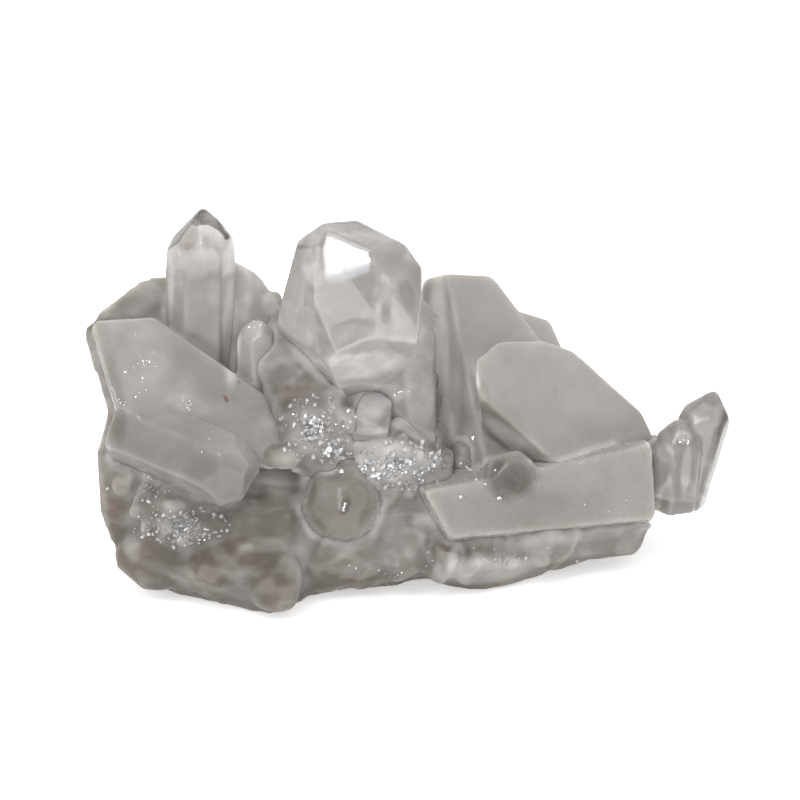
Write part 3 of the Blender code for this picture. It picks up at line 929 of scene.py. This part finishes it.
CRUST_SINK = 0.45  # how deep the tiny crystals stand in the surface, as a share of their width


def tiny_point():
    """A six-sided prism one unit wide and one long, with a six-faced tip."""
    bm = bmesh.new()
    bmesh.ops.create_cone(bm, cap_ends=True, segments=6, radius1=0.5, radius2=0.5, depth=1.0)
    top = max(bm.faces, key=lambda face: face.calc_center_median().z)
    bmesh.ops.poke(bm, faces=[top], offset=0.45)
    bm.normal_update()
    return bm


def tiny_flake():
    """A low five-sided block one unit wide with a flat top."""
    bm = bmesh.new()
    bmesh.ops.create_cone(bm, cap_ends=True, segments=5, radius1=0.5, radius2=0.42, depth=0.5)
    return bm


def add_copy(bm, template, transform):
    """Adds a moved copy of the template to the mesh."""
    piece = template.copy()
    piece.transform(transform)
    mesh = bpy.data.meshes.new("tiny")
    piece.to_mesh(mesh)
    piece.free()
    bm.from_mesh(mesh)
    bpy.data.meshes.remove(mesh)


def stand(axis, rng):
    """A rotation that turns +Z to the axis, with a random spin around it."""
    spin = Matrix.Rotation(rng.uniform(0, math.tau), 4, "Z")
    return Vector((0, 0, 1)).rotation_difference(axis).to_matrix().to_4x4() @ spin


def plant(bm, template, place, normal, width, rng, glint=None):
    """Stands a tiny crystal near the surface normal, or with a face of its tip to the glint."""
    length = width * rng.uniform(0.9, 1.8)
    size = Matrix.Diagonal((width, width * rng.uniform(0.75, 1.0), length, 1))
    lean = Vector(rng.uniform(-CRUST_LEAN, CRUST_LEAN) for _ in range(3))
    turn = stand((normal + lean).normalized(), rng) @ size
    if glint:
        tilt = turn.to_3x3().inverted().transposed()
        tips = [face.normal for face in template.faces if len(face.verts) == 3]
        near = max(((tilt @ tip).normalized() for tip in tips), key=glint.dot)
        turn = near.rotation_difference(glint).to_matrix().to_4x4() @ turn
    add_copy(bm, template, Matrix.Translation(place - normal * width * CRUST_SINK) @ turn)


def lay_flake(bm, template, place, width, rng, glint):
    """Lays a flake whose flat top looks to the glint."""
    size = Matrix.Diagonal((width, width * rng.uniform(0.4, 1.0), width * 0.7, 1))
    add_copy(bm, template, Matrix.Translation(place) @ stand(glint, rng) @ size)


def in_patch(patch, rng):
    """Lines of sight spread over a patch, each with a width for what is put there."""
    (x, y), (half_x, half_y), count, (least, most) = patch
    for _ in range(count):
        turn = rng.uniform(0, math.tau)
        reach = PATCH_SPREAD * rng.random() ** PATCH_THINNING
        ahead = sight(x + half_x * reach * math.cos(turn), y + half_y * reach * math.sin(turn))
        yield ahead, (least + (most - least) * rng.random() ** 2) * MM


def build_crust():
    surface = bpy.context.scene.quartz_surface
    rng = random.Random(surface.seed)
    rock = bpy.data.objects["base_rock"]
    rock_tree = surface_tree(rock)
    template = tiny_point()
    bm = bmesh.new()
    lamp = softbox_place() @ SOFTBOX_MIDDLE
    for patch in CRUST_PATCHES.values():
        for ahead, width in in_patch(patch, rng):
            place, normal, _, away = rock_tree.ray_cast(CAMERA_PLACE, ahead)
            glint = None
            if not place or CRYSTALS_TREE.ray_cast(CAMERA_PLACE, ahead, away - 1.5 * MM)[0]:
                continue
            if rng.random() < SPARKLING:
                glint = ((lamp - place).normalized() - ahead).normalized()
            plant(bm, template, place, normal, width, rng, glint)
    vertices = rock.data.vertices
    for _ in range(BACK_CRUST):
        vertex = vertices[rng.randrange(len(vertices))]
        width = rng.uniform(0.35, 1.0) * MM
        patch = noise.noise(vertex.co * 130)
        if not 6 * MM < vertex.co.z < 34 * MM or vertex.normal.y < 0.3 or patch < 0.15:
            continue
        near, normal, _, _ = CRYSTALS_TREE.find_nearest(vertex.co)
        if (vertex.co - near).dot(normal) > 0:
            plant(bm, template, vertex.co, vertex.normal, width, rng)
    template.free()
    # The crust is painted palest all over, which also lifts the shade in the gaps between its crystals.
    return add_tiny(bm, "crystal_crust", 0.05, 0.0, 1.0, (0.12, 0.28))


def build_glints():
    surface = bpy.context.scene.quartz_surface
    rng = random.Random(surface.seed)
    pieces = [bpy.data.objects[name] for name in ("base_rock", "crystal_crust", *GROUPS)]
    tree = surface_tree(*pieces)
    template = tiny_flake()
    bm = bmesh.new()
    lamp = softbox_place() @ SOFTBOX_MIDDLE
    for patch in SPECKS.values():
        for ahead, width in in_patch(patch, rng):
            place = tree.ray_cast(CAMERA_PLACE, ahead)[0]
            if place:
                glint = ((lamp - place).normalized() - ahead).normalized()
                lay_flake(bm, template, place, width, rng, glint)
    template.free()
    return add_tiny(bm, "glinting_flakes", 0.1, 0.0, 0.8, (0.02, 0.06))


def add_tiny(bm, name, clear, smoke_and_painted_shade, light, roughness):
    """A finished piece of many tiny flat-sided bodies with the same quartz all over."""
    mesh = bpy.data.meshes.new(name)
    bm.to_mesh(mesh)
    bm.free()
    count = len(mesh.vertices)
    paint(mesh, "clear", np.full(count, clear))
    paint(mesh, "smoke_and_painted_shade", np.full(count, smoke_and_painted_shade))
    paint(mesh, "light", np.full(count, light))
    paint(mesh, "stain_and_painted_reflection", np.zeros(count))
    material = quartz_material(f"{name}_quartz", *roughness, 0.0, 0.8, 30.0, 0.1, 0.0)
    piece = add_piece(name, mesh, material, "base_rock")
    mesh.shade_flat()
    return piece


# ---------------------------------------------------------------- operators


class QUARTZ_OT_rock(bpy.types.Operator):
    """Makes the base rock with its fractures"""

    bl_idname = "quartz.rock"
    bl_label = "Base rock"

    def execute(self, context):
        build_rock()
        return {"FINISHED"}


class QUARTZ_OT_crystals(bpy.types.Operator):
    """Makes the fine surface of every group of large crystals"""

    bl_idname = "quartz.crystals"
    bl_label = "Large crystals"

    def execute(self, context):
        for name in GROUPS:
            build_group(name)
        return {"FINISHED"}


class QUARTZ_OT_crust(bpy.types.Operator):
    """Plants the crust of tiny sharp crystals on the rock"""

    bl_idname = "quartz.crust"
    bl_label = "Crystal crust"

    def execute(self, context):
        build_crust()
        return {"FINISHED"}


class QUARTZ_OT_glints(bpy.types.Operator):
    """Lays the tiny bright flakes on the rock and the crystals"""

    bl_idname = "quartz.glints"
    bl_label = "Glinting flakes"

    def execute(self, context):
        build_glints()
        return {"FINISHED"}


class QUARTZ_OT_stage(bpy.types.Operator):
    """Sets up the floor, the light and the camera"""

    bl_idname = "quartz.stage"
    bl_label = "Stage"

    def execute(self, context):
        build_floor()
        build_light()
        build_camera()
        return {"FINISHED"}


# ---------------------------------------------------------------- stage


def build_floor():
    stage = bpy.context.scene.quartz_stage
    bm = bmesh.new()
    bmesh.ops.create_grid(bm, x_segments=1, y_segments=1, size=4.0)
    mesh = bpy.data.meshes.new("floor")
    bm.to_mesh(mesh)
    bm.free()
    floor = bpy.data.objects.new("floor", mesh)
    floor.location.z = -0.1 * MM
    bpy.context.scene.collection.objects.link(floor)
    material = bpy.data.materials.new("floor")
    material.use_nodes = True
    shader = material.node_tree.nodes["Principled BSDF"]
    shader.inputs["Base Color"].default_value = (*stage.floor_color, 1)
    shader.inputs["Roughness"].default_value = 0.8
    shader.inputs["Specular IOR Level"].default_value = 0.1
    shader.inputs["Emission Color"].default_value = (1, 1, 1, 1)
    shader.inputs["Emission Strength"].default_value = stage.floor_glow
    mesh.materials.append(material)


def aim_at(item, target):
    item.rotation_euler = (target - item.location).to_track_quat("-Z", "Y").to_euler()


def build_light():
    stage = bpy.context.scene.quartz_stage
    world = bpy.data.worlds.new("sky")
    bpy.context.scene.world = world
    world.use_nodes = True
    background = world.node_tree.nodes["Background"]
    background.inputs["Color"].default_value = (1, 1, 1, 1)
    background.inputs["Strength"].default_value = stage.sky

    build_softbox()
    lamp = bpy.data.lights.new("overhead", "AREA")
    lamp.size = OVERHEAD_SIZE
    lamp.energy = stage.overhead
    overhead = bpy.data.objects.new("overhead", lamp)
    bpy.context.scene.collection.objects.link(overhead)
    overhead.location = AIM + OVERHEAD_WAY * OVERHEAD_DISTANCE
    aim_at(overhead, AIM)


def build_softbox():
    """A glowing panel whose mirror image shines in the middle crystal's broad face."""
    stage = bpy.context.scene.quartz_stage
    panel_mesh = bpy.data.meshes.new("softbox")
    bm = bmesh.new()
    bmesh.ops.create_grid(bm, x_segments=1, y_segments=1, size=0.5)
    bmesh.ops.translate(bm, verts=bm.verts, vec=(0.5, 0.5, 0))
    bmesh.ops.scale(bm, verts=bm.verts, vec=(SOFTBOX_SPILL + SOFTBOX_WIDTH, SOFTBOX_HEIGHT, 1))
    bmesh.ops.translate(bm, verts=bm.verts, vec=(-SOFTBOX_SPILL, 0, 0))
    bm.to_mesh(panel_mesh)
    bm.free()
    panel = bpy.data.objects.new("softbox", panel_mesh)
    bpy.context.scene.collection.objects.link(panel)
    panel.matrix_world = softbox_place()
    material = bpy.data.materials.new("softbox")
    material.use_nodes = True
    nodes = material.node_tree
    nodes.nodes.clear()
    place = add_node(nodes, "ShaderNodeTexCoord").outputs["Object"]
    axes = add_node(nodes, "ShaderNodeSeparateXYZ", {0: place}).outputs
    fade_in = stretch(nodes, axes[0], -SOFTBOX_SPILL, 0, 0, 1)
    fade_in = maths(nodes, "MULTIPLY", fade_in, fade_in)
    rim = stretch(nodes, axes[1], 0, SOFTBOX_RIM, 0, 1)
    strength = maths(nodes, "MULTIPLY", fade_in, stretch(nodes, rim, 0, 1, 0.3, 1))
    color = blend(nodes, rim, (0.72, 0.82, 1.0, 1), (1, 1, 1, 1))
    glow = add_node(
        nodes,
        "ShaderNodeEmission",
        {"Color": color, "Strength": maths(nodes, "MULTIPLY", strength, stage.softbox)},
    )
    output = add_node(nodes, "ShaderNodeOutputMaterial", {"Surface": glow.outputs[0]})
    output.is_active_output = True
    panel_mesh.materials.append(material)


def build_camera():
    data = bpy.data.cameras.new("camera")
    data.lens = CAMERA_LENS
    data.sensor_width = CAMERA_SENSOR
    data.clip_start = 10 * MM
    data.clip_end = 20.0
    camera = bpy.data.objects.new("camera", data)
    bpy.context.scene.collection.objects.link(camera)
    camera.location = CAMERA_PLACE
    aim_at(camera, AIM)
    bpy.context.scene.camera = camera
    bpy.context.scene.view_settings.view_transform = "Standard"


# ---------------------------------------------------------------- panel


class QUARTZ_PT_panel(bpy.types.Panel):
    """Buttons and settings of the cluster"""

    bl_idname = "QUARTZ_PT_panel"
    bl_label = "Quartz cluster"
    bl_space_type = "VIEW_3D"
    bl_region_type = "UI"
    bl_category = "Quartz"

    def draw(self, context):
        for owner in ("quartz_surface", "quartz_look", "quartz_stage"):
            settings = getattr(context.scene, owner)
            for name in settings.__annotations__:
                self.layout.prop(settings, name)
        for operator in OPERATORS:
            self.layout.operator(operator.bl_idname)


SETTINGS = {
    "quartz_surface": SurfaceSettings,
    "quartz_look": QuartzSettings,
    "quartz_stage": StageSettings,
}
OPERATORS = (
    QUARTZ_OT_rock,
    QUARTZ_OT_crystals,
    QUARTZ_OT_crust,
    QUARTZ_OT_glints,
    QUARTZ_OT_stage,
)
CLASSES = (*SETTINGS.values(), *OPERATORS, QUARTZ_PT_panel)


def register():
    for item in CLASSES:
        bpy.utils.register_class(item)
    for name, group in SETTINGS.items():
        setattr(bpy.types.Scene, name, bpy.props.PointerProperty(type=group))


def unregister():
    for name in SETTINGS:
        delattr(bpy.types.Scene, name)
    for item in reversed(CLASSES):
        bpy.utils.unregister_class(item)


def main():
    register()
    bpy.ops.quartz.rock()
    bpy.ops.quartz.crystals()
    bpy.ops.quartz.crust()
    bpy.ops.quartz.glints()
    bpy.ops.quartz.stage()
    bpy.context.view_layer.update()


if __name__ == "__main__":
    main()
